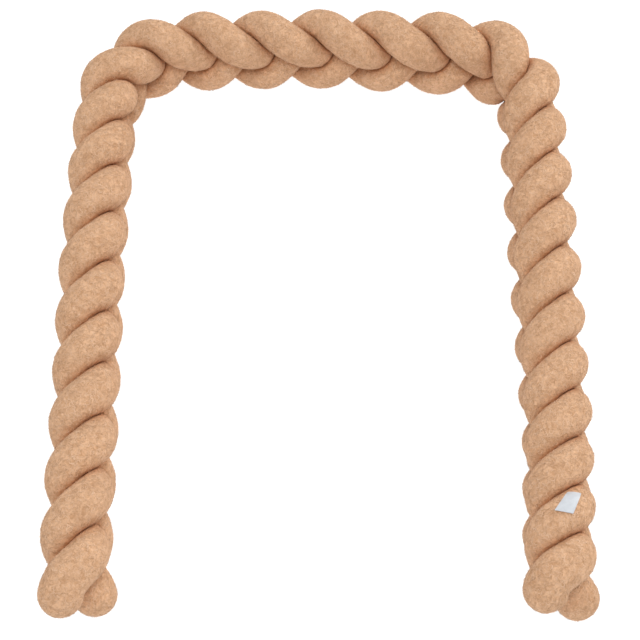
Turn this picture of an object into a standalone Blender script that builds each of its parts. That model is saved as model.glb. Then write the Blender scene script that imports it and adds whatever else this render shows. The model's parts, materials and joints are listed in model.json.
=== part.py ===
"""Crib bumper: a plait of three plump stuffed tubes, two metres long.

The plait stands on its edge, with its wide face upright, and is laid in a U that is open
to the front (-Y). Its route runs up the left arm, along the back and down the right arm.
All sizes are in metres, with +Z up and the floor at z = 0.
"""

import math
from itertools import combinations

import bmesh
import bpy
import numpy as np
from mathutils import Vector
from mathutils.bvhtree import BVHTree
from mathutils.kdtree import KDTree

# ---- Driving sizes ------------------------------------------------------------------

# The corners of the route's plan, before they are rounded.
LEFT_END = (-0.2767, -0.3963)
LEFT_CORNER = (-0.2724, 0.3905)
RIGHT_CORNER = (0.2701, 0.3860)
RIGHT_END = (0.2678, -0.4016)
LEFT_CORNER_RADIUS = 0.0963
RIGHT_CORNER_RADIUS = 0.0866

TUBE_COUNT = 3
TUBE_RADIUS = 0.0252
PLAIT_RISE = 0.0371  # a tube's centre line rises and falls by this about mid height
PLAIT_SWING = 0.0144  # and swings this far to either side
FIRST_LOBE = -0.84  # where the plait's rhythm starts, counted in lobes

# How the plait lies, station by station along its route.
# along: share of the route, pitch: length of one lobe, lean: top edge tipped inwards,
# sway: pushed outwards from the straight plan, stout: thickness against TUBE_RADIUS.
COLUMNS = ("along", "pitch", "lean_deg", "sway", "stout")
STATIONS = {
    "left end": (0.000, 0.0750, 3.1, -0.0026, 1.05),
    "left arm, front third": (0.120, 0.0668, 4.7, -0.0003, 1.04),
    "left arm, middle": (0.240, 0.0703, 4.6, 0.0030, 1.03),
    "left arm, back": (0.345, 0.0653, 5.6, -0.0008, 0.99),
    "left corner": (0.400, 0.0703, 6.0, 0.0054, 0.98),
    "middle of the back": (0.500, 0.0772, 2.2, 0.0131, 0.94),
    "right corner": (0.600, 0.0744, -0.5, 0.0032, 1.02),
    "right arm, back": (0.655, 0.0681, -0.8, -0.0018, 1.01),
    "right arm, middle": (0.760, 0.0676, -1.8, 0.0037, 1.05),
    "right arm, front third": (0.880, 0.0604, 2.4, 0.0075, 1.04),
    "right end": (1.000, 0.0556, 2.3, -0.0034, 1.07),
}

# Where each tube stops short of the route's ends, how far it splays outwards there, and
# what share of its height it loses there, where a loose end sags to the floor.
END_COLUMNS = ("left_trim", "left_splay", "right_trim", "right_splay", "right_sag")
TUBE_ENDS = {
    "tube_1": (0.0175, -0.0029, 0.0355, 0.0325, 1.00),
    "tube_2": (0.0325, -0.0180, 0.0302, -0.0050, 0.00),
    "tube_3": (0.0600, 0.0000, 0.0750, 0.0000, 0.00),
}
SPLAY_FADE = 0.072  # length over which a splayed end comes back to the plait
LEFT_SPLAY_POWER = 2.0  # a higher power keeps the splay nearer to the tip
RIGHT_SPLAY_POWER = 3.2
SAG_FADE = 0.075  # length over which a loose end sags
SAG_POWER = 1.2  # a higher power keeps the sag nearer to the tip

# How the tubes press on each other and on the floor.
PRESS_GAP = 0.0006  # left between two tubes where they press on each other
SHOULDER = 10.0  # a higher power gives a tighter crease
ROOM_SOUGHT = (0.1, 1.5)  # shares of the radius between which the room is looked for
BISECTIONS = 12
FLOOR_SINK = 0.0050  # how far the lowest lobes are flattened
FLOOR_SPREAD = 0.0030  # cloth this close to the floor lies on it
SETTLE_PASSES = 80
SETTLE_SHARE = 0.97  # what one pass leaves of the reach where two skins still cross
SMOOTH_PASSES = 2  # these even out what the settling has drawn in

# The mesh of a tube.
SIDES = 12
RINGS_A_TURN = 14  # a turn of the plait is three lobes long
CAP_STEPS = 3
ROUTE_STEP = 0.0018
CORNER_EASE = 0.038  # length over which a straight run eases into a corner
TABLE_EASE = 0.110  # length over which one station blends into the next

# The bare label, sewn into a crease of the right arm and lying on the next lobe. Its
# corners are in lobes along the plait, and degrees around the tube from its outer side.
LABEL_TUBE = "tube_1"
LABEL_CORNERS = {
    "sewn left": (26.78, 105.0),
    "sewn right": (26.73, 71.0),
    "fold left": (27.04, 111.5),
    "fold right": (26.95, 67.0),
}
LABEL_THICKNESS = 0.0010
LABEL_LIFT = 0.0007
LABEL_CELLS = (4, 5)

CAMEL = (0.610, 0.342, 0.188)
PLUSH_ROUGHNESS = 0.95
WHITE = (0.870, 0.880, 0.890)
SATIN_ROUGHNESS = 0.50


def clear_scene():
    """Remove whatever the file holds."""
    for item in list(bpy.data.objects):
        bpy.data.objects.remove(item)


def cloth_material(name, colour, roughness):
    """A plain Principled material."""
    material = bpy.data.materials.new(name)
    material.use_nodes = True
    shader = material.node_tree.nodes["Principled BSDF"]
    shader.inputs["Base Color"].default_value = (*colour, 1.0)
    shader.inputs["Roughness"].default_value = roughness
    shader.inputs["Metallic"].default_value = 0.0
    return material


# ---- The route and the rhythm of the plait ------------------------------------------


def rounded_corner(before, corner, after, radius, steps=40):
    """Points on the arc that rounds a corner of the plan."""
    before, corner, after = (np.array(p) for p in (before, corner, after))
    back = (before - corner) / np.linalg.norm(before - corner)
    ahead = (after - corner) / np.linalg.norm(after - corner)
    half_angle = math.acos(float(back @ ahead)) / 2
    middle = (back + ahead) / np.linalg.norm(back + ahead)
    centre = corner + middle * radius / math.sin(half_angle)
    first = corner + back * radius / math.tan(half_angle) - centre
    last = corner + ahead * radius / math.tan(half_angle) - centre
    start = math.atan2(first[1], first[0])
    turn = (math.atan2(last[1], last[0]) - start + math.pi) % (2 * math.pi) - math.pi
    angles = start + turn * np.linspace(0, 1, steps)
    return centre + radius * np.column_stack((np.cos(angles), np.sin(angles)))


def eased(values, length):
    """Smooth a row of values over a length of route."""
    reach = max(1, round(length / ROUTE_STEP / 2))
    weights = np.hanning(2 * reach + 1)
    head = 2 * values[0] - values[reach:0:-1]
    tail = 2 * values[-1] - values[-2 : -reach - 2 : -1]
    return np.convolve(np.concatenate((head, values, tail)), weights / weights.sum(), "valid")


def plan_route():
    """Even points along the plan of the U, and their distance along it."""
    left = rounded_corner(LEFT_END, LEFT_CORNER, RIGHT_CORNER, LEFT_CORNER_RADIUS)
    right = rounded_corner(LEFT_CORNER, RIGHT_CORNER, RIGHT_END, RIGHT_CORNER_RADIUS)
    plan = np.vstack((LEFT_END, left, right, RIGHT_END))
    distance = np.concatenate(([0], np.cumsum(np.linalg.norm(np.diff(plan, axis=0), axis=1))))
    along = np.arange(0, distance[-1], ROUTE_STEP)
    x, y = (eased(np.interp(along, distance, plan[:, i]), CORNER_EASE) for i in (0, 1))
    return along, np.column_stack((x, y))


def station_values(column, along):
    """One column of the table, blended along the route."""
    rows = np.array(list(STATIONS.values()))
    values = np.interp(along / along[-1], rows[:, 0], rows[:, COLUMNS.index(column)])
    return eased(values, TABLE_EASE)


def outward_of(points):
    """The outer side of the U at each point of its route."""
    travel = np.gradient(points, axis=0)
    travel /= np.linalg.norm(travel, axis=1)[:, None]
    return np.column_stack((-travel[:, 1], travel[:, 0]))


def fading(distance, fade, power):
    """A share that falls from one at a tube's tip to nothing at some distance from it."""
    return np.clip(1 - distance / fade, 0, 1) ** power


def lay_plait():
    """Centre line, outer side, radius and lobe count along each tube, on the floor."""
    along, plan = plan_route()
    plan = plan + outward_of(plan) * station_values("sway", along)[:, None]
    outward = outward_of(plan)
    density = 1 / station_values("pitch", along)
    steps = (density[1:] + density[:-1]) / 2 * ROUTE_STEP
    lobes = FIRST_LOBE + np.concatenate(([0], np.cumsum(steps)))
    lean = np.radians(station_values("lean_deg", along))
    radius = TUBE_RADIUS * station_values("stout", along)
    laid = {}
    for tube, (name, row) in enumerate(TUBE_ENDS.items()):
        ends = dict(zip(END_COLUMNS, row))
        turn = 2 * math.pi * (lobes - tube) / TUBE_COUNT
        side = -PLAIT_SWING * np.sin(2 * turn)
        rise = PLAIT_RISE * np.cos(turn)
        leaned_side = side * np.cos(lean) - rise * np.sin(lean)
        leaned_rise = side * np.sin(lean) + rise * np.cos(lean) + PLAIT_RISE
        from_left = along - ends["left_trim"]
        from_right = along[-1] - ends["right_trim"] - along
        leaned_side += ends["left_splay"] * fading(from_left, SPLAY_FADE, LEFT_SPLAY_POWER)
        leaned_side += ends["right_splay"] * fading(from_right, SPLAY_FADE, RIGHT_SPLAY_POWER)
        leaned_rise *= 1 - ends["right_sag"] * fading(from_right, SAG_FADE, SAG_POWER)
        height = leaned_rise + radius - FLOOR_SINK
        line = np.column_stack((plan + outward * leaned_side[:, None], height))
        kept = (from_left >= 0) & (from_right >= 0)
        laid[name] = tuple(rows[kept] for rows in (line, outward, radius, lobes))
    return laid


# ---- The tubes ----------------------------------------------------------------------


def core_line(line, outward, radius, lobes):
    """The part of a centre line that its skin lies one radius away from."""
    pieces = np.linalg.norm(np.diff(line, axis=0), axis=1)
    length = np.concatenate(([0], np.cumsum(pieces)))
    return line[(length >= radius[0]) & (length <= length[-1] - radius[-1])]


class Tube:
    """A stuffed tube along its centre line, pressed by its neighbours."""

    def __init__(self, laid, name):
        line, outward, self.radius, self.lobes = laid[name]
        self.name = name
        self.number = list(laid).index(name)
        self.line = line
        self.outward = np.column_stack((outward, np.zeros(len(outward))))
        self.travel = np.gradient(line, axis=0)
        self.travel /= np.linalg.norm(self.travel, axis=1)[:, None]
        pieces = np.linalg.norm(np.diff(line, axis=0), axis=1)
        self.length = np.concatenate(([0], np.cumsum(pieces)))
        others = np.vstack([core_line(*laid[other]) for other in laid if other != name])
        self.others = KDTree(len(others))
        for index, point in enumerate(others):
            self.others.insert(point, index)
        self.others.balance()
        self.places = self.ring_places()
        self.frames = [self.frame_at(place) for place, _ in self.places]
        rooms = [[self.room(frame, angle) for angle in self.angles()] for frame in self.frames]
        self.held = [
            [room < frame[3] for room in row] for frame, row in zip(self.frames, rooms)
        ]
        self.reaches = [
            [share * self.rounded(frame[3], room) for room in row]
            for frame, (_, share), row in zip(self.frames, self.places, rooms)
        ]
        self.skin = self.triangles()

    @staticmethod
    def angles():
        """Directions around a ring, from the outer side over the top."""
        return [2 * math.pi * (side + 0.5) / SIDES for side in range(SIDES)]

    def frame_at(self, length):
        """Centre, outward and upward directions, and radius at a length along the tube."""
        rows = np.column_stack((self.line, self.travel, self.outward, self.radius))
        row = [float(np.interp(length, self.length, column)) for column in rows.T]
        centre, travel, outward = Vector(row[0:3]), Vector(row[3:6]).normalized(), Vector(row[6:9])
        outward = (outward - travel * outward.dot(travel)).normalized()
        return centre, outward, travel.cross(outward), row[9]

    @staticmethod
    def direction(frame, angle):
        """A direction square to the tube, at an angle around it."""
        return frame[1] * math.cos(angle) + frame[2] * math.sin(angle)

    @staticmethod
    def rounded(radius, room):
        """How far the skin lies from the centre line, given its radius and its room."""
        return (radius**-SHOULDER + room**-SHOULDER) ** (-1 / SHOULDER)

    def room(self, frame, angle):
        """How far the skin could reach in one direction before it meets a neighbour."""
        centre, radius = frame[0], frame[3]
        direction = self.direction(frame, angle)
        near, far = (share * radius for share in ROOM_SOUGHT)
        for _ in range(BISECTIONS):
            middle = (near + far) / 2
            _, _, distance = self.others.find(centre + direction * middle)
            if distance > middle:
                near = middle
            else:
                far = middle
        return near - PRESS_GAP / 2

    def skin_point(self, length, angle, lift):
        """A point above the skin."""
        frame = self.frame_at(length)
        reach = self.rounded(frame[3], self.room(frame, angle))
        return frame[0] + self.direction(frame, angle) * (reach + lift)

    def ring_places(self):
        """Length along the tube, and share of the full reach, for every ring.

        The rings of the body keep the plait's rhythm, so each lobe has them at the same
        places, and one lies at its highest or lowest point.
        """
        total = float(self.length[-1])
        first_radius, last_radius = float(self.radius[0]), float(self.radius[-1])
        turns = [math.pi / 2 * step / CAP_STEPS for step in range(1, CAP_STEPS)]
        first = [(first_radius * (1 - math.cos(turn)), math.sin(turn)) for turn in turns]
        last = [(total - last_radius * (1 - math.cos(turn)), math.sin(turn)) for turn in turns]
        beat = TUBE_COUNT / RINGS_A_TURN
        low, high = np.interp((first_radius, total - last_radius), self.length, self.lobes)
        counts = self.number + beat * np.arange(-RINGS_A_TURN, len(self.lobes))
        counts = counts[(counts > low + beat / 2) & (counts < high - beat / 2)]
        counts = np.concatenate(([low], counts, [high]))
        body = [(float(place), 1.0) for place in np.interp(counts, self.lobes, self.length)]
        return first + body + last[::-1]

    def points(self, swell=0.0):
        """All points of the skin, ring by ring, and then the two tips."""
        points = [
            frame[0] + self.direction(frame, angle) * (reach + swell)
            for frame, reaches in zip(self.frames, self.reaches)
            for angle, reach in zip(self.angles(), reaches)
        ]
        tips = [self.frame_at(place)[0] for place in (0.0, float(self.length[-1]))]
        return points + tips

    def triangles(self):
        """The skin's triangles, as numbers of its points; each quad is cut the short way."""
        points = self.points()
        first_tip, last_tip = len(points) - 2, len(points) - 1
        last_ring = first_tip - SIDES
        faces = []
        for side in range(SIDES):
            after = (side + 1) % SIDES
            for low in range(0, last_ring, SIDES):
                high = low + SIDES
                a, b, c, d = low + side, low + after, high + after, high + side
                if (points[a] - points[c]).length < (points[b] - points[d]).length:
                    faces += [(a, b, c), (a, c, d)]
                else:
                    faces += [(a, b, d), (b, c, d)]
            faces.append((after, side, first_tip))
            faces.append((last_ring + side, last_ring + after, last_tip))
        return faces

    def give_way(self, face):
        """The points to draw in where a triangle crosses another skin: the held ones."""
        points = [divmod(point, SIDES) for point in self.skin[face]]
        points = [(ring, side) for ring, side in points if ring < len(self.reaches)]
        return [(ring, side) for ring, side in points if self.held[ring][side]] or points

    def smooth(self):
        """Lower each held point that stands out from the points around it."""
        rows = np.array(self.reaches)
        for _ in range(SMOOTH_PASSES):
            around = (np.roll(rows, 1, axis=1) + np.roll(rows, -1, axis=1)) / 4
            around[1:-1] += (rows[:-2] + rows[2:]) / 4
            around[[0, -1]] *= 2
            rows = np.where(self.held, np.minimum(rows, (rows + around) / 2), rows)
        self.reaches = rows.tolist()

    def build_mesh(self):
        """The closed skin, flattened where it meets the floor."""
        mesh = bpy.data.meshes.new(self.name)
        points = self.points()
        for point in points:
            if point.z < FLOOR_SPREAD:
                point.z = 0.0
        mesh.from_pydata(points, [], self.skin)
        return outward_facing(mesh)


def outward_facing(mesh):
    """Turn all faces of a closed mesh outwards."""
    shape = bmesh.new()
    shape.from_mesh(mesh)
    bmesh.ops.recalc_face_normals(shape, faces=shape.faces)
    shape.to_mesh(mesh)
    shape.free()
    return mesh


def settle(tubes):
    """Draw the faceted skins in, pass by pass, until no two of them cross."""
    for _ in range(SETTLE_PASSES):
        trees = [BVHTree.FromPolygons(tube.points(PRESS_GAP / 2), tube.skin) for tube in tubes]
        touched = [set() for _ in tubes]
        for pair in combinations(range(len(tubes)), 2):
            for faces in trees[pair[0]].overlap(trees[pair[1]]):
                for number, face in zip(pair, faces):
                    touched[number].update(tubes[number].give_way(face))
        if not any(touched):
            break
        for tube, points in zip(tubes, touched):
            for ring, side in points:
                tube.reaches[ring][side] *= SETTLE_SHARE
    for tube in tubes:
        tube.smooth()


# ---- The label ----------------------------------------------------------------------


def label_point(tube, across, down, lift):
    """A point of the label, from its share of the way across and down its cloth."""
    corner = {name: np.array(spot) for name, spot in LABEL_CORNERS.items()}
    left = corner["sewn left"] * (1 - down) + corner["fold left"] * down
    right = corner["sewn right"] * (1 - down) + corner["fold right"] * down
    lobe, angle = left * (1 - across) + right * across
    return tube.skin_point(np.interp(lobe, tube.lobes, tube.length), math.radians(angle), lift)


def build_label(tube, name):
    """A thin sheet that leaves the crease and lies over the next lobe."""
    cells, steps = LABEL_CELLS
    shape = bmesh.new()
    layers = []
    for lift in (LABEL_LIFT, LABEL_LIFT + LABEL_THICKNESS):
        rows = []
        for step in range(steps + 1):
            across = [cell / cells for cell in range(cells + 1)]
            points = [label_point(tube, place, step / steps, lift) for place in across]
            rows.append([shape.verts.new(point) for point in points])
        layers.append(rows)
    for layer in layers:
        for row, next_row in zip(layer, layer[1:]):
            for cell in range(cells):
                corners = (row[cell], row[cell + 1], next_row[cell + 1], next_row[cell])
                shape.faces.new(corners)
    under, over = layers
    rim = [(step, 0) for step in range(steps)]
    rim += [(steps, cell) for cell in range(cells)]
    rim += [(step, cells) for step in range(steps, 0, -1)]
    rim += [(0, cell) for cell in range(cells, 0, -1)]
    for (row, cell), (next_row, next_cell) in zip(rim, rim[1:] + rim[:1]):
        low = under[row][cell], under[next_row][next_cell]
        high = over[next_row][next_cell], over[row][cell]
        shape.faces.new(low + high)
    bmesh.ops.triangulate(shape, faces=shape.faces)
    mesh = bpy.data.meshes.new(name)
    shape.to_mesh(mesh)
    shape.free()
    return outward_facing(mesh)


# ---- Assembly -----------------------------------------------------------------------


def place_object(name, mesh, material):
    """Add a mesh to the scene under its own name and material."""
    mesh.materials.append(material)
    item = bpy.data.objects.new(name, mesh)
    bpy.context.scene.collection.objects.link(item)
    return item


def centre(items):
    """Put the origin on the floor, under the middle of the whole."""
    points = np.array([vert.co for item in items for vert in item.data.vertices])
    low, high = points.min(axis=0), points.max(axis=0)
    middle = Vector(((low[0] + high[0]) / 2, (low[1] + high[1]) / 2, 0.0))
    for item in items:
        for vert in item.data.vertices:
            vert.co -= middle


def build():
    """Make the three tubes and the label."""
    clear_scene()
    laid = lay_plait()
    tubes = {name: Tube(laid, name) for name in laid}
    settle(list(tubes.values()))
    items = []
    for name, tube in tubes.items():
        plush = cloth_material(f"{name}_plush", CAMEL, PLUSH_ROUGHNESS)
        items.append(place_object(name, tube.build_mesh(), plush))
    satin = cloth_material("label_satin", WHITE, SATIN_ROUGHNESS)
    items.append(place_object("label", build_label(tubes[LABEL_TUBE], "label"), satin))
    centre(items)


build()
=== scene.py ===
"""Crib bumper: three plump tubes of curly plush, plaited and laid in a U, with a bare label.

Laid out as an add-on and run as a script. All sizes are in metres, with +Z up, the floor
at z = 0 and the open end of the U towards -Y.
"""

import json
import math

import bmesh
import bpy
import numpy as np
from bpy.props import FloatProperty, FloatVectorProperty, IntProperty, PointerProperty
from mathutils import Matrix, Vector

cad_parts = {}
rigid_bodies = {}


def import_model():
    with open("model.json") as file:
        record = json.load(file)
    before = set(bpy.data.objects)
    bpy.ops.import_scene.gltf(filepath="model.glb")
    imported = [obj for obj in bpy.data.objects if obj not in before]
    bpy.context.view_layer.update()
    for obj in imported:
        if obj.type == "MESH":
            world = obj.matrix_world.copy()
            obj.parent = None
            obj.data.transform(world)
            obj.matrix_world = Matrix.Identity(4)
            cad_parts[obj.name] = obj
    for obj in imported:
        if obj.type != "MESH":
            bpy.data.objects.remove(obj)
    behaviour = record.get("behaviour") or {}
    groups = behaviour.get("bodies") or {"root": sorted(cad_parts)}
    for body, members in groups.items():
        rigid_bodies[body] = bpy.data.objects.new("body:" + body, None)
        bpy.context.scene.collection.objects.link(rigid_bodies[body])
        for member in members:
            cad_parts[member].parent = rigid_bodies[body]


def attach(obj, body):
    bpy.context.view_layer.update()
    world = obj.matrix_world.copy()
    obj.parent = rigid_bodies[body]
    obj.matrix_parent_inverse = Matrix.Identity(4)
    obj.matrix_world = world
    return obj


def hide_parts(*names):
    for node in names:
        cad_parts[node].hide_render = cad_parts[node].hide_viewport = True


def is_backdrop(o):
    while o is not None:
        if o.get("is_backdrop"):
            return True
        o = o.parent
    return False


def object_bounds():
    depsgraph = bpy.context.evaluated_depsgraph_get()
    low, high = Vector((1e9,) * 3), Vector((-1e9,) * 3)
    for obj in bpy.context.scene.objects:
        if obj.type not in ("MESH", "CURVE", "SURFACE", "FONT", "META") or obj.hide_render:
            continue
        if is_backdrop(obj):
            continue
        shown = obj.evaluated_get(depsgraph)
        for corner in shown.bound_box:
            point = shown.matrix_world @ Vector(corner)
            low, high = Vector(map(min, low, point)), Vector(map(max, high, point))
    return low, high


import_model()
CAD_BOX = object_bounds()

bl_info = {
    "name": "Plaited Crib Bumper",
    "version": (1, 0, 0),
    "blender": (4, 5, 0),
    "location": "3D View > Sidebar > Crib Bumper",
    "description": "Makes a crib bumper plaited from three tubes of curly plush",
    "category": "Add Mesh",
}

# ---- The lie of the plait -----------------------------------------------------------

# The corners of the route's plan, before they are rounded, and the move that brings the
# whole bumper over the origin.
LEFT_END = (-0.2767, -0.3963)
LEFT_CORNER = (-0.2724, 0.3905)
RIGHT_CORNER = (0.2701, 0.3860)
RIGHT_END = (0.2678, -0.4016)
LEFT_CORNER_RADIUS = 0.0963
RIGHT_CORNER_RADIUS = 0.0866
PLAN_MOVE = (0.00050, -0.02591)

TUBE_COUNT = 3
FIRST_LOBE = -0.84  # where the plait's rhythm starts, counted in lobes
FLOOR_SINK = 0.0050  # how far the lowest lobes are flattened
ROUTE_STEP = 0.0018
CORNER_EASE = 0.038  # length over which a straight run eases into a corner
TABLE_EASE = 0.110  # length over which one station blends into the next

# How the plait lies, station by station along its route.
# along: share of the route, pitch: length of one lobe, lean: top edge tipped inwards,
# sway: pushed outwards from the straight plan, stout: thickness against the tube radius.
COLUMNS = ("along", "pitch", "lean_deg", "sway", "stout")
STATIONS = {
    "left end": (0.000, 0.0750, 3.1, -0.0026, 1.05),
    "left arm, front third": (0.120, 0.0668, 4.7, -0.0003, 1.04),
    "left arm, middle": (0.240, 0.0703, 4.6, 0.0030, 1.03),
    "left arm, back": (0.345, 0.0653, 5.6, -0.0008, 0.99),
    "left corner": (0.400, 0.0703, 6.0, 0.0054, 0.98),
    "middle of the back": (0.500, 0.0772, 2.2, 0.0131, 0.94),
    "right corner": (0.600, 0.0744, -0.5, 0.0032, 1.02),
    "right arm, back": (0.655, 0.0681, -0.8, -0.0018, 1.01),
    "right arm, middle": (0.760, 0.0676, -1.8, 0.0037, 1.05),
    "right arm, front third": (0.880, 0.0604, 2.4, 0.0075, 1.04),
    "right end": (1.000, 0.0556, 2.3, -0.0034, 1.07),
}

# Where each tube stops short of the route's ends, how far it splays outwards there, and
# what share of its height it loses there, where a loose end sags to the floor.
END_COLUMNS = ("left_trim", "left_splay", "right_trim", "right_splay", "right_sag")
TUBE_ENDS = {
    "tube_1": (0.0175, -0.0029, 0.0355, 0.0325, 1.00),
    "tube_2": (0.0325, -0.0180, 0.0302, -0.0050, 0.00),
    "tube_3": (0.0600, 0.0000, 0.0750, 0.0000, 0.00),
}
SPLAY_FADE = 0.072  # length over which a splayed end comes back to the plait
LEFT_SPLAY_POWER = 2.0  # a higher power keeps the splay nearer to the tip
RIGHT_SPLAY_POWER = 3.2  # the same for the right arm
SAG_FADE = 0.075  # length over which a loose end sags
SAG_POWER = 1.2  # a higher power keeps the sag nearer to the tip

# The rings of points that a tube's skin is swept through.
RING_STEP = 0.0025
CAP_RINGS = 14


def rounded_corner(before, corner, after, radius, steps=40):
    """Points on the arc that rounds a corner of the plan."""
    before, corner, after = (np.array(p) for p in (before, corner, after))
    back = (before - corner) / np.linalg.norm(before - corner)
    ahead = (after - corner) / np.linalg.norm(after - corner)
    half_angle = math.acos(float(back @ ahead)) / 2
    middle = (back + ahead) / np.linalg.norm(back + ahead)
    centre = corner + middle * radius / math.sin(half_angle)
    first = corner + back * radius / math.tan(half_angle) - centre
    last = corner + ahead * radius / math.tan(half_angle) - centre
    start = math.atan2(first[1], first[0])
    turn = (math.atan2(last[1], last[0]) - start + math.pi) % (2 * math.pi) - math.pi
    angles = start + turn * np.linspace(0, 1, steps)
    return centre + radius * np.column_stack((np.cos(angles), np.sin(angles)))


def eased(values, length):
    """Smooth a row of values over a length of route."""
    reach = max(1, round(length / ROUTE_STEP / 2))
    weights = np.hanning(2 * reach + 1)
    head = 2 * values[0] - values[reach:0:-1]
    tail = 2 * values[-1] - values[-2 : -reach - 2 : -1]
    return np.convolve(np.concatenate((head, values, tail)), weights / weights.sum(), "valid")


def plan_route():
    """Even points along the plan of the U, and their distance along it."""
    left = rounded_corner(LEFT_END, LEFT_CORNER, RIGHT_CORNER, LEFT_CORNER_RADIUS)
    right = rounded_corner(LEFT_CORNER, RIGHT_CORNER, RIGHT_END, RIGHT_CORNER_RADIUS)
    plan = np.vstack((LEFT_END, left, right, RIGHT_END))
    distance = np.concatenate(([0], np.cumsum(np.linalg.norm(np.diff(plan, axis=0), axis=1))))
    along = np.arange(0, distance[-1], ROUTE_STEP)
    x, y = (eased(np.interp(along, distance, plan[:, i]), CORNER_EASE) for i in (0, 1))
    return along, np.column_stack((x, y)) + PLAN_MOVE


def station_values(column, along):
    """One column of the table, blended along the route."""
    rows = np.array(list(STATIONS.values()))
    values = np.interp(along / along[-1], rows[:, 0], rows[:, COLUMNS.index(column)])
    return eased(values, TABLE_EASE)


def outward_of(points):
    """The outer side of the U at each point of its route."""
    travel = np.gradient(points, axis=0)
    travel /= np.linalg.norm(travel, axis=1)[:, None]
    return np.column_stack((-travel[:, 1], travel[:, 0]))


def fading(distance, fade, power):
    """A share that falls from one at a tube's tip to nothing at some distance from it."""
    return np.clip(1 - distance / fade, 0, 1) ** power


def lay_plait(plait):
    """Centre line, outer side, radius and lobe count along each tube, on the floor."""
    along, plan = plan_route()
    plan = plan + outward_of(plan) * station_values("sway", along)[:, None]
    outward = outward_of(plan)
    density = 1 / station_values("pitch", along)
    steps = (density[1:] + density[:-1]) / 2 * ROUTE_STEP
    lobes = FIRST_LOBE + np.concatenate(([0], np.cumsum(steps)))
    lean = np.radians(station_values("lean_deg", along))
    radius = plait.tube_radius * station_values("stout", along)
    laid = {}
    for tube, (name, row) in enumerate(TUBE_ENDS.items()):
        ends = dict(zip(END_COLUMNS, row))
        turn = 2 * math.pi * (lobes - tube) / TUBE_COUNT
        side = -plait.swing * np.sin(2 * turn)
        rise = plait.rise * np.cos(turn)
        leaned_side = side * np.cos(lean) - rise * np.sin(lean)
        leaned_rise = side * np.sin(lean) + rise * np.cos(lean) + plait.rise
        from_left = along - ends["left_trim"]
        from_right = along[-1] - ends["right_trim"] - along
        leaned_side += ends["left_splay"] * fading(from_left, SPLAY_FADE, LEFT_SPLAY_POWER)
        leaned_side += ends["right_splay"] * fading(from_right, SPLAY_FADE, RIGHT_SPLAY_POWER)
        leaned_rise *= 1 - ends["right_sag"] * fading(from_right, SAG_FADE, SAG_POWER)
        leaned_rise += radius - FLOOR_SINK
        line = np.column_stack((plan + outward * leaned_side[:, None], leaned_rise))
        kept = (from_left >= 0) & (from_right >= 0)
        laid[name] = tuple(rows[kept] for rows in (line, outward, radius, lobes))
    return laid


class CentreLine:
    """The middle of one tube, with its directions, radius and lobes at any length."""

    def __init__(self, line, outward, radius, lobes):
        travel = np.gradient(line, axis=0)
        travel /= np.linalg.norm(travel, axis=1)[:, None]
        outward = np.column_stack((outward, np.zeros(len(outward))))
        outward -= travel * np.sum(travel * outward, axis=1)[:, None]
        outward /= np.linalg.norm(outward, axis=1)[:, None]
        pieces = np.linalg.norm(np.diff(line, axis=0), axis=1)
        self.length = np.concatenate(([0], np.cumsum(pieces)))
        self.columns = {
            "centre": line,
            "travel": travel,
            "outward": outward,
            "upward": np.cross(travel, outward),
            "tube_radius": radius,
            "lobe": lobes,
        }

    def at(self, column, lengths):
        """One column's values at some lengths along the tube."""
        rows = self.columns[column]
        if rows.ndim == 1:
            return np.interp(lengths, self.length, rows)
        return np.column_stack([np.interp(lengths, self.length, row) for row in rows.T])

    def rings(self):
        """Length of the middle, and reach sideways and ahead, for every ring, tip to tip.

        The rings of a round end all have the same middle, one radius short of the tip.
        """
        first, last = self.columns["tube_radius"][[0, -1]]
        last = self.length[-1] - last
        count = round((last - first) / RING_STEP)
        body = np.linspace(first, last, count + 1)[1:-1]
        turns = np.linspace(0, math.pi / 2, CAP_RINGS + 1)
        cap = np.ones(CAP_RINGS + 1)
        lengths = np.concatenate((first * cap, body, last * cap))
        sideways = np.concatenate((np.sin(turns), np.ones(len(body)), np.sin(turns)[::-1]))
        ahead = np.concatenate((-np.cos(turns), np.zeros(len(body)), np.cos(turns)[::-1]))
        return lengths, sideways, ahead


# ---- Node trees ---------------------------------------------------------------------


class Field:
    """One output of a node, which can be reckoned with like a number or a vector."""

    def __init__(self, nodes, socket):
        self.nodes = nodes
        self.socket = socket

    def out(self, label):
        """Another output of the same node."""
        outputs = self.socket.node.outputs
        return Field(self.nodes, next(s for s in outputs if s.enabled and s.name == label))

    def reckon(self, operation, *others):
        """This field and others through a Math or Vector Math node."""
        vector = any(isinstance(x, Field) and x.socket.type == "VECTOR" for x in (self, *others))
        kind = "ShaderNodeVectorMath" if vector else "ShaderNodeMath"
        return self.nodes.add(kind, self, *others, operation=operation)

    def __add__(self, other):
        return self.reckon("ADD", other)

    def __sub__(self, other):
        return self.reckon("SUBTRACT", other)

    def __mul__(self, other):
        if self.socket.type == "VECTOR" and not isinstance(other, tuple):
            return self.nodes.add(
                "ShaderNodeVectorMath", operation="SCALE", named={"Vector": self, "Scale": other}
            )
        return self.reckon("MULTIPLY", other)

    def __truediv__(self, other):
        return self.reckon("DIVIDE", other)

    def __pow__(self, other):
        return self.reckon("POWER", other)

    def ranged(self, low, high, to_low=0.0, to_high=1.0, smooth=False):
        """This field's range low to high brought to another one, and held inside it."""
        kind = "SMOOTHSTEP" if smooth else "LINEAR"
        return self.nodes.add(
            "ShaderNodeMapRange", self, low, high, to_low, to_high, interpolation_type=kind
        )


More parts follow.
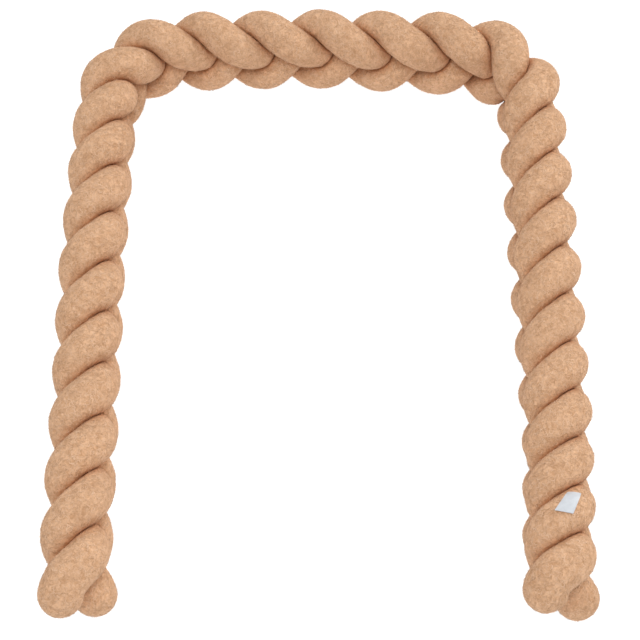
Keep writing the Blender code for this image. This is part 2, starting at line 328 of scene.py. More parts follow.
class Nodes:
    """Puts a node tree together, node by node."""

    def __init__(self, tree):
        self.tree = tree

    def add(self, kind, *values, named=None, **settings):
        """A new node, fed in the order of its inputs or by their names; its first output."""
        node = self.tree.nodes.new(kind)
        for setting, value in settings.items():
            setattr(node, setting, value)
        sockets = [socket for socket in node.inputs if socket.enabled]
        for socket, value in zip(sockets, values):
            self.feed(socket, value)
        for label, value in (named or {}).items():
            self.feed(next(s for s in sockets if s.name == label), value)
        outputs = [socket for socket in node.outputs if socket.enabled]
        return Field(self, outputs[0]) if outputs else node

    def feed(self, socket, value):
        """Link a field to a socket, or set the socket to a plain value."""
        if isinstance(value, Field):
            self.tree.links.new(value.socket, socket)
        elif value is not None:
            socket.default_value = value

    def attribute(self, name, kind="FLOAT"):
        """A named attribute of the geometry."""
        return self.add("GeometryNodeInputNamedAttribute", name, data_type=kind)

    def store(self, geometry, name, value, kind="FLOAT", domain="POINT"):
        """Geometry that carries a value under a name."""
        return self.add(
            "GeometryNodeStoreNamedAttribute",
            named={"Geometry": geometry, "Name": name, "Value": value},
            data_type=kind,
            domain=domain,
        )

    def shape_of(self, item):
        """The geometry of an object."""
        return self.add("GeometryNodeObjectInfo", item).out("Geometry")


def geometry_tree(name, inputs):
    """A Geometry Nodes tree with named inputs, and its group input as a field."""
    tree = bpy.data.node_groups.new(name, "GeometryNodeTree")
    for way in ("INPUT", "OUTPUT"):
        tree.interface.new_socket("Geometry", in_out=way, socket_type="NodeSocketGeometry")
    for label, kind in inputs.items():
        tree.interface.new_socket(label, in_out="INPUT", socket_type=f"NodeSocket{kind}")
    nodes = Nodes(tree)
    return nodes, nodes.add("NodeGroupInput")


def finish_tree(nodes, geometry, material):
    """End a tree in Realize Instances and Set Material."""
    geometry = nodes.add("GeometryNodeRealizeInstances", geometry)
    geometry = nodes.add("GeometryNodeSetMaterial", geometry, named={"Material": material})
    nodes.add("NodeGroupOutput", geometry)


def run_tree(carrier, tree, values, name):
    """What a tree makes of an object, as a new plain mesh object at the origin."""
    modifier = carrier.modifiers.new(tree.name, "NODES")
    modifier.node_group = tree
    for item in tree.interface.items_tree:
        if item.in_out == "INPUT" and item.name in values:
            modifier[item.identifier] = values[item.name]
    graph = bpy.context.evaluated_depsgraph_get()
    mesh = bpy.data.meshes.new_from_object(carrier.evaluated_get(graph), depsgraph=graph)
    carrier.modifiers.remove(modifier)
    while mesh.materials[0] is None:
        mesh.materials.pop(index=0)
    mesh.name = name
    return place_object(name, mesh)


def place_object(name, mesh):
    """Add a mesh to the scene under its own name."""
    item = bpy.data.objects.new(name, mesh)
    bpy.context.scene.collection.objects.link(item)
    return item


# ---- Materials ----------------------------------------------------------------------

MIDDLE_LEVELS = (0.3, 0.7)  # the levels that most of a noise lies between

# The plush. Its swirls and its bump are measured in metres.
SWIRL_SCALE = 110.0
SWIRL_BEND = 0.012  # how far the swirls bend the strands
STRAND_SCALE = 210.0
RIDGE_WIDTH = 0.13  # how far from its middle level the noise still makes a ridge
TUFT_SCALE = 120.0
PIT_SHADE_LEVELS = (0.1, 0.8)  # from the painted shade of the pits to the colour of the cloth
SPECK_SCALE = 330.0
SPECK_LEVELS = (0.60, 0.72)  # only the peaks of the noise get painted highlight flecks
SPECK_SHARE = 0.45  # how far a painted highlight fleck hides the cloth's own colour
CLOUD_SCALE = 28.0
CLOUD_TONES = (0.94, 1.03)  # the darkest and the lightest clouds of colour
BUMP_HEIGHT = 0.0012
CURL_RELIEF = 0.25  # how far a curl is shaded by its own shape rather than by the cloth's

# The satin.
WEAVE_SCALE = 900.0
SATIN_CLOUD_SCALE = 120.0
SATIN_SHADE = (0.56, 0.59, 0.63)


def new_material(name):
    """A material with its nodes, and its Principled shader."""
    material = bpy.data.materials.new(name)
    material.use_nodes = True
    return material, Nodes(material.node_tree), material.node_tree.nodes["Principled BSDF"]


def set_shader(shader, **values):
    """Set plain values on a shader's own sockets."""
    for label, value in values.items():
        shader.inputs[label.replace("_", " ")].default_value = value


def mixed(nodes, share, first, second, blend="MIX"):
    """Two colours mixed."""
    return nodes.add(
        "ShaderNodeMix", share, first, second, data_type="RGBA", blend_type=blend
    )


def noise(nodes, place, scale, detail, **more):
    """Noise texture at a place."""
    named = {"Vector": place, "Scale": scale, "Detail": detail, **more}
    return nodes.add("ShaderNodeTexNoise", named=named)


def with_painted_crease_shade(nodes, base, colours):
    """The cloth's colour, deepened by painted shade where the skin lies in a crease."""
    crease = nodes.add("ShaderNodeAttribute", attribute_name="crease").out("Fac")
    return mixed(nodes, crease, base, (*colours.crease, 1), "MULTIPLY")


def plush_material(colours):
    """Curly plush: swirled ridges of fibre, with painted shade in the pits between them, painted
    highlight flecks on them and painted shade in the creases.
    """
    material, nodes, shader = new_material("curly_plush")
    place = nodes.add("ShaderNodeTexCoord").out("Object")
    swirl = noise(nodes, place, SWIRL_SCALE, 1.0).out("Color")
    swirl = nodes.add("ShaderNodeVectorMath", swirl, (0.5, 0.5, 0.5), operation="SUBTRACT")
    bent = place + swirl * SWIRL_BEND
    strands = noise(nodes, bent, STRAND_SCALE, 2.0, Roughness=0.55)
    ridge = (strands - 0.5).reckon("ABSOLUTE").ranged(0.0, RIDGE_WIDTH, 1.0, 0.0)
    tufts = noise(nodes, bent, TUFT_SCALE, 1.0)
    height = ridge * 0.5 + tufts.ranged(*MIDDLE_LEVELS) * 0.5
    # Painted shade in the pits, where the height is low; the same height drives the bump.
    base = mixed(nodes, height.ranged(*PIT_SHADE_LEVELS), (*colours.pit_shade, 1), (*colours.cloth, 1))
    # Painted highlight flecks at the peaks of a fine noise.
    highlight_specks = noise(nodes, bent, SPECK_SCALE, 1.0).ranged(*SPECK_LEVELS) * SPECK_SHARE
    base = mixed(nodes, highlight_specks, base, (*colours.speck_highlight, 1))
    tone = noise(nodes, place, CLOUD_SCALE, 3.0).ranged(*MIDDLE_LEVELS, *CLOUD_TONES)
    base = nodes.add("ShaderNodeHueSaturation", named={"Color": base, "Value": tone})
    nodes.feed(shader.inputs["Base Color"], with_painted_crease_shade(nodes, base, colours))
    bump = nodes.add(
        "ShaderNodeBump", named={"Strength": 0.9, "Distance": BUMP_HEIGHT, "Height": height}
    )
    nodes.feed(shader.inputs["Normal"], bump)
    set_pile_finish(shader, colours)
    return material


def set_pile_finish(shader, colours):
    """The dull, slightly hazy finish of fine fibres."""
    set_shader(shader, Roughness=0.95, Specular_IOR_Level=0.15, Sheen_Weight=0.25)
    set_shader(shader, Sheen_Roughness=0.45, Sheen_Tint=(*colours.speck_highlight, 1))


def curl_material(colours):
    """The fibre of the curls that stand out of the pile, each a little lighter or darker at
    random, between painted shade and painted highlight.
    """
    material, nodes, shader = new_material("curl_fibre")
    shade = nodes.add("ShaderNodeAttribute", attribute_name="shade").out("Fac")
    # A random mix between painted shade and painted highlight for each curl, with painted crease
    # shade over it.
    base = mixed(nodes, shade, (*colours.curl_painted_shade, 1), (*colours.speck_highlight, 1))
    nodes.feed(shader.inputs["Base Color"], with_painted_crease_shade(nodes, base, colours))
    cloth = nodes.add("ShaderNodeAttribute", attribute_name="cloth_normal").out("Vector")
    own = nodes.add("ShaderNodeNewGeometry").out("Normal")
    soft = (cloth * (1 - CURL_RELIEF) + own * CURL_RELIEF).reckon("NORMALIZE")
    nodes.feed(shader.inputs["Normal"], soft)
    set_pile_finish(shader, colours)
    return material


def satin_material(colours):
    """White satin ribbon with a fine weave."""
    material, nodes, shader = new_material("label_satin_weave")
    place = nodes.add("ShaderNodeAttribute", attribute_name="weave").out("Vector")
    weft = nodes.add("ShaderNodeTexWave", named={"Vector": place, "Scale": WEAVE_SCALE})
    cloudy = noise(nodes, place, SATIN_CLOUD_SCALE, 2.0).ranged(*MIDDLE_LEVELS)
    base = mixed(nodes, cloudy, (*colours.satin, 1), (*SATIN_SHADE, 1))
    nodes.feed(shader.inputs["Base Color"], base)
    bump = nodes.add("ShaderNodeBump", named={"Strength": 0.2, "Distance": 0.0001, "Height": weft})
    nodes.feed(shader.inputs["Normal"], bump)
    set_shader(shader, Roughness=0.42, Sheen_Weight=0.1)
    return material


# ---- Tubes --------------------------------------------------------------------------

SIDES = 60
END_SPREAD = 0.00002  # keeps the points apart on which the rings of a round end sit
MERGE_DISTANCE = 0.00003  # makes one point of the ring at each tip, which has no width
BISECTIONS = 13

# A room is how far the skin could reach before it meets a neighbour, as a share of the
# tube's radius.
ROOM_SOUGHT = (0.1, 1.6)  # the rooms between which a point's own room is looked for
OPEN_ROOM = (0.98, 1.10)  # from pressed cloth to cloth with its pile standing free
TIGHT_CREASE_SHADE = (0.98, 1.16)  # painted crease shade, from the bottom of a crease to its rim
WIDE_CREASE_SHADE = (1.10, 1.60)  # and the wider painted shade, on to the open cloth beside it
TIGHT_CREASE_SHADE_SHARE = 0.6  # share of a crease's painted shade that is gone at its rim
OFF_FLOOR = (0.0008, 0.0030)  # heights, from cloth on the floor to cloth with free pile
LUMP_SCALE = 34.0
NUB_SCALE = 110.0


def line_object(name, centre_line):
    """A chain of edges along a tube's middle, which carries what its skin needs."""
    lengths, sideways, ahead = centre_line.rings()
    carried = ("centre", "outward", "upward", "tube_radius")
    carried = {column: centre_line.at(column, lengths) for column in carried}
    carried["sideways"] = sideways
    carried["ahead"] = centre_line.at("travel", lengths) * ahead[:, None]
    points = carried["centre"] + carried["ahead"] * END_SPREAD
    mesh = bpy.data.meshes.new(f"{name}_line")
    edges = [(i, i + 1) for i in range(len(points) - 1)]
    mesh.from_pydata(points.tolist(), edges, [])
    for column, values in carried.items():
        kind, field = ("FLOAT", "value") if values.ndim == 1 else ("FLOAT_VECTOR", "vector")
        mesh.attributes.new(column, kind, "POINT").data.foreach_set(field, values.ravel())
    return place_object(f"{name}_line", mesh)


def above_floor(nodes, spot):
    """A place lifted out of the floor, and how high it was."""
    x, y, z = (nodes.add("ShaderNodeSeparateXYZ", spot).out(axis) for axis in "XYZ")
    return nodes.add("ShaderNodeCombineXYZ", x, y, z.reckon("MAXIMUM", 0.0)), z


def swept_ring(nodes, inputs):
    """A ring swept along a tube's middle, and the way out to each of its points."""
    ring = nodes.add("GeometryNodeCurvePrimitiveCircle", inputs.out("Sides"))
    angle = nodes.add("GeometryNodeInputIndex") / inputs.out("Sides") * (2 * math.pi)
    ring = nodes.store(ring, "angle", angle)
    line = nodes.add("GeometryNodeMeshToCurve", inputs)
    skin = nodes.add("GeometryNodeCurveToMesh", line, ring)
    angle = nodes.attribute("angle")
    outward, upward = (nodes.attribute(name, "FLOAT_VECTOR") for name in ("outward", "upward"))
    direction = outward * angle.reckon("COSINE") + upward * angle.reckon("SINE")
    direction = direction * nodes.attribute("sideways")
    return skin, direction + nodes.attribute("ahead", "FLOAT_VECTOR")


def room_beside(nodes, inputs, centre, direction, full):
    """How far the skin can reach before it meets a neighbour, found by halving."""
    neighbours = nodes.tree.nodes.new("GeometryNodeJoinGeometry")
    for label in ("Second Neighbour", "First Neighbour"):
        nodes.feed(neighbours.inputs[0], nodes.shape_of(inputs.out(label)))
    neighbours = Field(nodes, neighbours.outputs[0])
    near, far = (full * share for share in ROOM_SOUGHT)
    for _ in range(BISECTIONS):
        middle = (near + far) * 0.5
        distance = nodes.add(
            "GeometryNodeProximity",
            named={"Geometry": neighbours, "Sample Position": centre + direction * middle},
            target_element="EDGES",
        ).out("Distance")
        free = distance.reckon("GREATER_THAN", middle)
        near, far = (
            nodes.add("GeometryNodeSwitch", free, near, middle, input_type="FLOAT"),
            nodes.add("GeometryNodeSwitch", free, middle, far, input_type="FLOAT"),
        )
    return near - inputs.out("Press Gap") * 0.5


def stuffed_reach(nodes, inputs, place, full, room):
    """How far the stuffing pushes the skin out: plump where it is free, else to its room."""
    lumps = nodes.add(
        "ShaderNodeTexNoise",
        named={"Vector": place, "W": inputs.out("Seed"), "Scale": LUMP_SCALE, "Detail": 2.0},
        noise_dimensions="4D",
    )
    plump = full * ((lumps - 0.5) * inputs.out("Unevenness") + 1.0)
    shoulder = inputs.out("Shoulder")
    squeeze = (plump / room) ** shoulder + 1.0
    return plump / squeeze ** nodes.add("ShaderNodeMath", 1.0, shoulder, operation="DIVIDE")


def crease_shade_share(share):
    """How deep in a crease the skin lies, from its room, as the share of painted crease shade its
    colour gets.
    """
    tight = share.ranged(*TIGHT_CREASE_SHADE, 1.0, 0.0, smooth=True)
    wide = share.ranged(*WIDE_CREASE_SHADE, 1.0, 0.0, smooth=True)
    return tight * TIGHT_CREASE_SHADE_SHARE + wide * (1 - TIGHT_CREASE_SHADE_SHARE)


def skin_tree():
    """Sweeps a ring along a tube's middle and lets it reach as far as its neighbours do."""
    nodes, inputs = geometry_tree(
        "Plush Tube Skin",
        {
            "First Neighbour": "Object",
            "Second Neighbour": "Object",
            "Sides": "Int",
            "Press Gap": "Float",
            "Pile Height": "Float",
            "Shoulder": "Float",
            "Unevenness": "Float",
            "Nub Height": "Float",
            "Seed": "Float",
            "Cloth": "Material",
        },
    )
    skin, direction = swept_ring(nodes, inputs)
    centre = nodes.attribute("centre", "FLOAT_VECTOR")
    full = nodes.attribute("tube_radius") - inputs.out("Pile Height")
    place = centre + direction * full
    room = room_beside(nodes, inputs, centre, direction, full)
    share = room / full
    open_cloth = share.ranged(*OPEN_ROOM, smooth=True)
    nubs = (noise(nodes, place, NUB_SCALE, 1.0) - 0.5) * 2.0 * inputs.out("Nub Height")
    reach = stuffed_reach(nodes, inputs, place, full, room) + nubs * open_cloth
    spot, height = above_floor(nodes, centre + direction * reach)
    skin = nodes.store(skin, "free", open_cloth * height.ranged(*OFF_FLOOR))
    # Painted shade in the creases, which the cloth's and the curls' colours are multiplied by.
    skin = nodes.store(skin, "crease", crease_shade_share(share))
    skin = nodes.add("GeometryNodeSetPosition", skin, named={"Position": spot})
    skin = nodes.add("GeometryNodeMergeByDistance", skin, named={"Distance": MERGE_DISTANCE})
    skin = nodes.add("GeometryNodeSetShadeSmooth", skin)
    finish_tree(nodes, skin, inputs.out("Cloth"))
    return nodes.tree


def face_outward(mesh):
    """Turn the faces of a closed mesh outwards."""
    shape = bmesh.new()
    shape.from_mesh(mesh)
    bmesh.ops.recalc_face_normals(shape, faces=shape.faces)
    shape.to_mesh(mesh)
    shape.free()


class BUMPER_OT_tubes(bpy.types.Operator):
    """Make the three plush tubes of the plait, pressed on one another"""

    bl_idname = "bumper.make_tubes"
    bl_label = "Plush Tubes"

    def execute(self, context):
        plait = context.scene.bumper_plait
        cloth = plush_material(context.scene.bumper_colours)
        laid = {name: CentreLine(*rows) for name, rows in lay_plait(plait).items()}
        lines = {name: line_object(name, line) for name, line in laid.items()}
        tree = skin_tree()
        for number, name in enumerate(lines):
            first, second = (lines[other] for other in lines if other != name)
            values = {
                "First Neighbour": first,
                "Second Neighbour": second,
                "Sides": SIDES,
                "Press Gap": plait.press_gap,
                "Pile Height": plait.pile_height,
                "Shoulder": plait.shoulder,
                "Unevenness": plait.unevenness,
                "Nub Height": plait.nub_height,
                "Seed": float(number),
                "Cloth": cloth,
            }
            tube = run_tree(lines[name], tree, values, f"plush_{name}")
            face_outward(tube.data)
            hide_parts(name)
            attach(tube, "root")
        for line in lines.values():
            bpy.data.objects.remove(line)
        return {"FINISHED"}


# ---- Pile ---------------------------------------------------------------------------

PACKING = 0.6  # share of a spacing's square that one curl takes
CURL_STEPS = 6
CURL_TURN_DEG = 235.0  # how far a curl winds round
CURL_TIP = 0.45  # share of its radius that is left at its tip
CURL_POINT = 0.06  # a larger share leaves the fibre's two ends blunter
CURL_LEAN_DEG = 7  # a curl leans up to this far to any side
CURL_TURNED = 6.283  # and is turned by up to this angle in radians, which is all round
CURL_SCALES = (0.7, 1.35)  # its least and its greatest scale along each of its axes
PATCH_SCALE = 75.0
PATCH_LEVELS = (0.35, 0.65)
PATCH_SHARE = 0.55  # how much of a curl's shade it has in common with those around it
OWN_SHADES = (-0.05, 0.5)  # and how much it has for itself
LABEL_CLEARANCE = 0.0016  # a curl's root keeps this far from the label


def curl_object(pile):
    """One curl: a fibre that winds inwards, arched off the cloth and pointed at both ends."""
    verts = []
    for step in range(CURL_STEPS + 1):
        share = step / CURL_STEPS
        turn = math.radians(CURL_TURN_DEG) * share
        radius = pile.curl_radius * (1 - (1 - CURL_TIP) * share)
        swell = math.sin(math.pi * (CURL_POINT + (1 - 2 * CURL_POINT) * share))
        for side in (-1, 1):
            reach = radius + side * pile.fibre_width / 2 * swell
            place = reach * math.cos(turn), reach * math.sin(turn), pile.arch * swell
            verts.append(place)
    faces = [(i, i + 1, i + 3, i + 2) for i in range(0, 2 * CURL_STEPS, 2)]
    mesh = bpy.data.meshes.new("curl")
    mesh.from_pydata(verts, [], faces)
    return place_object("curl", mesh)


def strewn_roots(nodes, inputs):
    """Spots on the free cloth where a curl could root."""
    spacing = inputs.out("Spacing")
    return nodes.add(
        "GeometryNodeDistributePointsOnFaces",
        named={
            "Mesh": inputs,
            "Distance Min": spacing,
            "Density Max": (spacing * spacing * PACKING) ** -1.0,
            "Density Factor": nodes.attribute("free"),
            "Seed": inputs.out("Seed"),
        },
        distribute_method="POISSON",
    )


def clear_of_label(nodes, inputs, roots):
    """Roots without those that the label lies on."""
    label = nodes.shape_of(inputs.out("Label"))
    clear = nodes.add(
        "GeometryNodeProximity", named={"Geometry": label}, target_element="FACES"
    ).out("Distance")
    under = clear.reckon("LESS_THAN", LABEL_CLEARANCE)
    return nodes.add("GeometryNodeDeleteGeometry", roots, under)


def drawn(nodes, inputs, low, high, salt, kind="FLOAT"):
    """A random value for each curl. Every use has a salt of its own."""
    seed = inputs.out("Seed") + float(salt)
    return nodes.add(
        "FunctionNodeRandomValue", named={"Min": low, "Max": high, "Seed": seed}, data_type=kind
    )


def curl_turn(nodes, inputs, rotation):
    """A curl's rotation: square to the cloth, leaned a little and turned any way round."""
    lean = math.radians(CURL_LEAN_DEG)
    turn = nodes.add(
        "ShaderNodeCombineXYZ",
        drawn(nodes, inputs, -lean, lean, salt=1),
        drawn(nodes, inputs, -lean, lean, salt=5),
        drawn(nodes, inputs, 0.0, CURL_TURNED, salt=2),
    )
    return nodes.add("FunctionNodeRotateRotation", rotation, turn, rotation_space="LOCAL")


def curl_lightness(nodes, inputs):
    """How light a curl is, partly like the curls around it and partly by itself: its share of
    painted highlight over painted shade.
    """
    patch = noise(nodes, None, PATCH_SCALE, 1.0).ranged(*PATCH_LEVELS)
    return patch * PATCH_SHARE + drawn(nodes, inputs, *OWN_SHADES, salt=4)


def pile_tree():
    """Strews small curls of fibre over the free cloth of a tube."""
    nodes, inputs = geometry_tree(
        "Curly Pile",
        {
            "Curl": "Object",
            "Spacing": "Float",
            "Seed": "Int",
            "Label": "Object",
            "Fibre": "Material",
        },
    )
    roots = strewn_roots(nodes, inputs)
    smallest, largest = ((scale, scale, scale) for scale in CURL_SCALES)
    placed = nodes.add(
        "GeometryNodeInstanceOnPoints",
        clear_of_label(nodes, inputs, roots),
        named={
            "Instance": nodes.shape_of(inputs.out("Curl")),
            "Rotation": curl_turn(nodes, inputs, roots.out("Rotation")),
            "Scale": drawn(nodes, inputs, smallest, largest, salt=3, kind="FLOAT_VECTOR"),
        },
    )
    normal = roots.out("Normal")
    placed = nodes.store(placed, "shade", curl_lightness(nodes, inputs), domain="INSTANCE")
    placed = nodes.store(placed, "cloth_normal", normal, "FLOAT_VECTOR", "INSTANCE")
    placed = nodes.add("GeometryNodeRealizeInstances", placed)
    spot, _ = above_floor(nodes, nodes.add("GeometryNodeInputPosition"))
    placed = nodes.add("GeometryNodeSetPosition", placed, named={"Position": spot})
    placed = nodes.add("GeometryNodeSetShadeSmooth", placed)
    finish_tree(nodes, placed, inputs.out("Fibre"))
    return nodes.tree


class BUMPER_OT_pile(bpy.types.Operator):
    """Cover the tubes with small curls of fibre"""

    bl_idname = "bumper.make_pile"
    bl_label = "Curly Pile"

    def execute(self, context):
        pile = context.scene.bumper_pile
        fibre = curl_material(context.scene.bumper_colours)
        tree = pile_tree()
        curl = curl_object(pile)
        for number, name in enumerate(TUBE_ENDS):
            values = {
                "Curl": curl,
                "Spacing": pile.spacing,
                "Seed": pile.seed + number,
                "Label": bpy.data.objects["satin_label"],
                "Fibre": fibre,
            }
            item = run_tree(bpy.data.objects[f"plush_{name}"], tree, values, f"pile_{name}")
            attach(item, "root")
        bpy.data.objects.remove(curl)
        return {"FINISHED"}


# ---- Label --------------------------------------------------------------------------

LABEL_TUBE = "tube_1"
RAY_START = 0.045  # a ray that looks for the tube's skin starts this far from its middle
LABEL_CELLS = (12, 18)  # across the ribbon, and from the sewn edge to the fold
FOLD_STEPS = 6
LIFTED_BY = 0.25  # share of the label's length over which it comes up from the crease
CURLED_FROM = 0.35  # share of its length at which it starts to stand off
MIDDLE_CURL = 0.3  # its middle stands off by this share of its curl, its sides by 1 more

# Where the label's corners lie on the tube: lobes along the plait, and degrees around the
# tube, from its outer side over its top.
LABEL_CORNERS = {
    "sewn left": (26.78, 105.0),
    "sewn right": (26.73, 71.0),
    "fold left": (27.04, 111.5),
    "fold right": (26.95, 67.0),
}


def label_course(label):
    """Share of the way from the sewn edge to the fold, and depth, along the folded ribbon."""
    steps, gap = LABEL_CELLS[1], label.fold_gap
    over = [(step / steps, 0.0) for step in range(steps + 1)]
    turns = [math.pi * step / FOLD_STEPS for step in range(1, FOLD_STEPS)]
    bulge = gap / 2 / label.length
    fold = [(1 + bulge * math.sin(turn), gap / 2 * (1 - math.cos(turn))) for turn in turns]
    under = [(share, gap) for share, _ in reversed(over)]
    return over + fold + under


def label_lift(label, share, side):
    """Height of the label's upper layer over the cloth, from its sewn edge to its fold."""
    lift = label.lift * min(1, share / LIFTED_BY) + label.fold_gap
    return lift + label.curl * max(0, share - CURLED_FROM) ** 2 * (MIDDLE_CURL + side**2)


def skin_spot(tube, centre_line, lobe, angle):
    """The spot on a tube's skin at a lobe and an angle around the tube, and the way out."""
    length = np.interp(lobe, centre_line.columns["lobe"], centre_line.length)
    centre, outward, upward = (
        Vector(centre_line.at(column, [length])[0]) for column in ("centre", "outward", "upward")
    )
    direction = outward * math.cos(angle) + upward * math.sin(angle)
    found, spot, _, _ = tube.ray_cast(centre + direction * RAY_START, -direction)
    if not found:
        raise RuntimeError("the label finds no tube under it")
    return spot, direction


def make_label(label, tube, centre_line, satin):
    """A folded satin ribbon that leaves the crease and lies over the next lobe."""
    cells = LABEL_CELLS[0]
    corners = {name: np.array(spot) for name, spot in LABEL_CORNERS.items()}
    shape = bmesh.new()
    weave = shape.verts.layers.float_vector.new("weave")
    rows = []
    run, before = 0.0, (0.0, 0.0)
    for share, depth in label_course(label):
        run += math.hypot((share - before[0]) * label.length, depth - before[1])
        before = (share, depth)
        left = corners["sewn left"] * (1 - share) + corners["fold left"] * share
        right = corners["sewn right"] * (1 - share) + corners["fold right"] * share
        row = []
        for cell in range(cells + 1):
            lobe, angle = left + (right - left) * cell / cells
            spot, direction = skin_spot(tube, centre_line, lobe, math.radians(angle))
            side = 2 * cell / cells - 1
            lift = label_lift(label, share, side)
            vert = shape.verts.new(spot + direction * (lift - depth))
            vert[weave] = (label.width * side / 2, run, 0.0)
            row.append(vert)
        rows.append(row)
    for row, next_row in zip(rows, rows[1:]):
        for cell in range(cells):
            shape.faces.new((row[cell], next_row[cell], next_row[cell + 1], row[cell + 1]))
    mesh = bpy.data.meshes.new("satin_label")
    shape.to_mesh(mesh)
    shape.free()
    mesh.materials.append(satin)
    mesh.shade_smooth()
    return place_object("satin_label", mesh)


class BUMPER_OT_label(bpy.types.Operator):
    """Sew the bare satin label into its crease"""

    bl_idname = "bumper.make_label"
    bl_label = "Label"

    def execute(self, context):
        plait, label = context.scene.bumper_plait, context.scene.bumper_label
        centre_line = CentreLine(*lay_plait(plait)[LABEL_TUBE])
        tube = bpy.data.objects[f"plush_{LABEL_TUBE}"]
        satin = satin_material(context.scene.bumper_colours)
        item = make_label(label, tube, centre_line, satin)
        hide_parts("label")
        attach(item, "root")
        return {"FINISHED"}


# ---- Stage --------------------------------------------------------------------------

FLOOR_REACH = 6.0  # from the origin to each edge of the floor
FLOOR_GREY = (0.3, 0.3, 0.3, 1)
LIGHT_AIM = (0.0, 0.0, 0.05)
LIGHT_EDGE = 3.6  # the soft boxes are square
SIDE_LIGHT_PLACE = (4.1, 4.1, 2.7)
SIDE_LIGHT_COLOUR = (1.0, 0.99, 0.97)
TOP_LIGHT_PLACE = (0.0, -1.3, 6.2)
TOP_LIGHT_COLOUR = (1.0, 1.0, 1.0)


def soft_light(name, place, power, colour):
    """A square soft box that faces the bumper."""
    lamp = bpy.data.lights.new(name, "AREA")
    lamp.size = LIGHT_EDGE
    lamp.energy = power
    lamp.color = colour
    item = bpy.data.objects.new(name, lamp)
    item.location = place
    item.rotation_euler = (Vector(LIGHT_AIM) - Vector(place)).to_track_quat("-Z", "Y").to_euler()
    bpy.context.scene.collection.objects.link(item)


def make_floor(glow):
    """A white floor that glows just enough to show no shadow."""
    material, _, shader = new_material("white_floor")
    set_shader(shader, Base_Color=FLOOR_GREY, Roughness=0.9, Specular_IOR_Level=0.0)
    set_shader(shader, Emission_Color=(1, 1, 1, 1), Emission_Strength=glow)
    mesh = bpy.data.meshes.new("studio_floor")
    signs = (-1, -1), (1, -1), (1, 1), (-1, 1)
    corners = [(x * FLOOR_REACH, y * FLOOR_REACH, 0) for x, y in signs]
    mesh.from_pydata(corners, [], [(0, 1, 2, 3)])
    mesh.materials.append(material)
    place_object("studio_floor", mesh)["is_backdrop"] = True


def light_room(strength):
    """Even white light from all round."""
    world = bpy.data.worlds.new("studio_room")
    world.use_nodes = True
    ground = world.node_tree.nodes["Background"]
    ground.inputs["Color"].default_value = (1.0, 1.0, 1.0, 1.0)
    ground.inputs["Strength"].default_value = strength
    bpy.context.scene.world = world


def place_camera(stage):
    """A camera where the photograph's was, before and above the bumper."""
    tilt, reach = stage.camera_elevation, stage.camera_distance
    camera = bpy.data.cameras.new("photo_camera")
    camera.sensor_width = 36.0
    camera.lens = stage.lens
    camera.clip_end = 100.0
    item = bpy.data.objects.new("photo_camera", camera)
    back = Vector((0.0, -math.cos(tilt) * reach, math.sin(tilt) * reach))
    item.location = Vector((*PLAN_MOVE, stage.aim_height)) + back
    item.rotation_euler = (math.pi / 2 - tilt, 0.0, 0.0)
    bpy.context.scene.collection.objects.link(item)
    bpy.context.scene.camera = item


class BUMPER_OT_stage(bpy.types.Operator):
    """Set up the white floor, the soft lights and the camera"""

    bl_idname = "bumper.make_stage"
    bl_label = "Stage"

    def execute(self, context):
        stage = context.scene.bumper_stage
        make_floor(stage.floor_glow)
        light_room(stage.room_light)
        soft_light("side_light", SIDE_LIGHT_PLACE, stage.side_power, SIDE_LIGHT_COLOUR)
        soft_light("top_light", TOP_LIGHT_PLACE, stage.top_power, TOP_LIGHT_COLOUR)
        place_camera(stage)
        context.scene.view_settings.view_transform = "Standard"
        return {"FINISHED"}


# ---- Settings -----------------------------------------------------------------------


def size(name, description, default):
    """A length in metres."""
    return FloatProperty(
        name=name, description=description, default=default, unit="LENGTH", precision=4
    )


def colour(name, description, default):
    """A colour, in linear light."""
    return FloatVectorProperty(
        name=name, description=description, default=default, subtype="COLOR", min=0, max=1
    )


class PlaitSettings(bpy.types.PropertyGroup):
    """Sizes of the tubes and of their plait."""

    tube_radius: size("Tube Radius", "Half the thickness of a stuffed tube", 0.0252)
    rise: size("Rise", "How far a tube rises and falls about mid height", 0.0371)
    swing: size("Swing", "How far a tube swings to either side", 0.0144)
    press_gap: size("Press Gap", "Left between two tubes where they press", 0.0003)
    pile_height: size("Pile Height", "How far the cloth lies inside its pile", 0.0012)
    shoulder: FloatProperty(
        name="Shoulder", description="How tight the creases between the tubes are", default=16.0
    )
    unevenness: FloatProperty(
        name="Unevenness", description="How uneven the stuffing is", default=0.10
    )
    nub_height: size("Nub Height", "Height of the small nubs of the pile", 0.0004)


class PileSettings(bpy.types.PropertyGroup):
    """Sizes of the curls of fibre."""

    spacing: size("Spacing", "Least distance between two curls", 0.0028)
    curl_radius: size("Curl Radius", "Half the width of a curl where it is widest", 0.0024)
    fibre_width: size("Fibre Width", "Width of a curl's fibre at its middle", 0.0006)
    arch: size("Arch", "How far a curl stands off the cloth at its middle", 0.0007)
    seed: IntProperty(name="Seed", description="Start of the random strewing", default=11)


class LabelSettings(bpy.types.PropertyGroup):
    """Sizes of the label."""

    width: size("Width", "Width of the ribbon", 0.0195)
    length: size("Length", "From the sewn edge to the fold", 0.034)
    lift: size("Lift", "Height of the label above the cloth", 0.0012)
    curl: size("Curl", "How far its free corners stand off", 0.0022)
    fold_gap: size("Fold Gap", "Thickness of the fold", 0.0006)


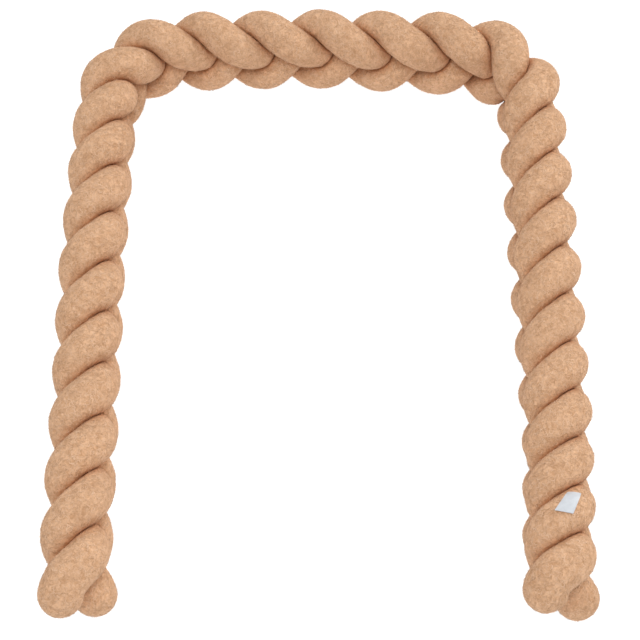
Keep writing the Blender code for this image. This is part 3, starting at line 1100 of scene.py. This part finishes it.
class ColourSettings(bpy.types.PropertyGroup):
    """Colours of the cloth and the label, with the painted shade and painted highlights of the
    pile.
    """

    cloth: colour("Cloth", "Camel plush", (0.806, 0.493, 0.298))
    # Painted shade in the pits between the ridges of the pile.
    pit_shade: colour("Pits", "Between the ridges of the pile", (0.580, 0.322, 0.174))
    # Painted shade: what the creases leave of the cloth's and the curls' colours.
    crease: colour("Creases", "What a crease leaves of the cloth's colour", (0.73, 0.54, 0.40))
    # Painted shade: the darkest of the curls' random colours.
    curl_painted_shade: colour("Darkest Curls", "Curls deep in the pile", (0.555, 0.302, 0.162))
    # Painted highlight on the flecks of the cloth and on the lightest curls; also the sheen's
    # tint.
    speck_highlight: colour("Specks", "On the curls that catch the light", (0.910, 0.615, 0.420))
    satin: colour("Satin", "White ribbon", (0.640, 0.670, 0.710))


class StageSettings(bpy.types.PropertyGroup):
    """The floor, the lights and the camera."""

    floor_glow: FloatProperty(
        name="Floor Glow", description="Keeps the white floor free of shadow", default=0.96
    )
    room_light: FloatProperty(
        name="Room Light", description="Strength of the even light from all round", default=0.55
    )
    side_power: FloatProperty(
        name="Side Light", description="Soft box beside and behind", default=148.0, unit="POWER"
    )
    top_power: FloatProperty(
        name="Top Light", description="Soft box high over the bumper", default=196.0, unit="POWER"
    )
    camera_elevation: FloatProperty(
        name="Camera Elevation",
        description="Angle of the camera above the horizon",
        default=math.radians(61.6),
        subtype="ANGLE",
    )
    camera_distance: size("Camera Distance", "From the camera to the bumper", 2.34)
    aim_height: size("Aim Height", "Height of the point the camera looks at", 0.0578)
    lens: FloatProperty(name="Lens", description="Focal length in millimetres", default=109.6875)


class BUMPER_PT_panel(bpy.types.Panel):
    """The bumper's tools in the sidebar"""

    bl_idname = "BUMPER_PT_panel"
    bl_label = "Crib Bumper"
    bl_space_type = "VIEW_3D"
    bl_region_type = "UI"
    bl_category = "Crib Bumper"

    def draw(self, context):
        for settings, group in SETTINGS.items():
            column = self.layout.column(align=True)
            for name in group.__annotations__:
                column.prop(getattr(context.scene, settings), name)
        for operator in OPERATORS:
            self.layout.operator(operator.bl_idname)


OPERATORS = (BUMPER_OT_tubes, BUMPER_OT_label, BUMPER_OT_pile, BUMPER_OT_stage)
SETTINGS = {
    "bumper_plait": PlaitSettings,
    "bumper_pile": PileSettings,
    "bumper_label": LabelSettings,
    "bumper_colours": ColourSettings,
    "bumper_stage": StageSettings,
}


def register():
    """Register the settings, the operators and the panel."""
    for item in (*SETTINGS.values(), *OPERATORS, BUMPER_PT_panel):
        bpy.utils.register_class(item)
    for name, group in SETTINGS.items():
        setattr(bpy.types.Scene, name, PointerProperty(type=group))


def unregister():
    """Take the add-on out again."""
    for name in SETTINGS:
        delattr(bpy.types.Scene, name)
    for item in (BUMPER_PT_panel, *reversed(OPERATORS), *reversed(SETTINGS.values())):
        bpy.utils.unregister_class(item)


def main():
    """Make every piece and the stage, and reckon how large the bumper has come out beside its
    parts.
    """
    register()
    bpy.ops.bumper.make_tubes()
    bpy.ops.bumper.make_label()
    bpy.ops.bumper.make_pile()
    bpy.ops.bumper.make_stage()
    boxes = {"cad": CAD_BOX, "visual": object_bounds()}
    boxes = {name: [list(corner) for corner in box] for name, box in boxes.items()}


if __name__ == "__main__":
    main()
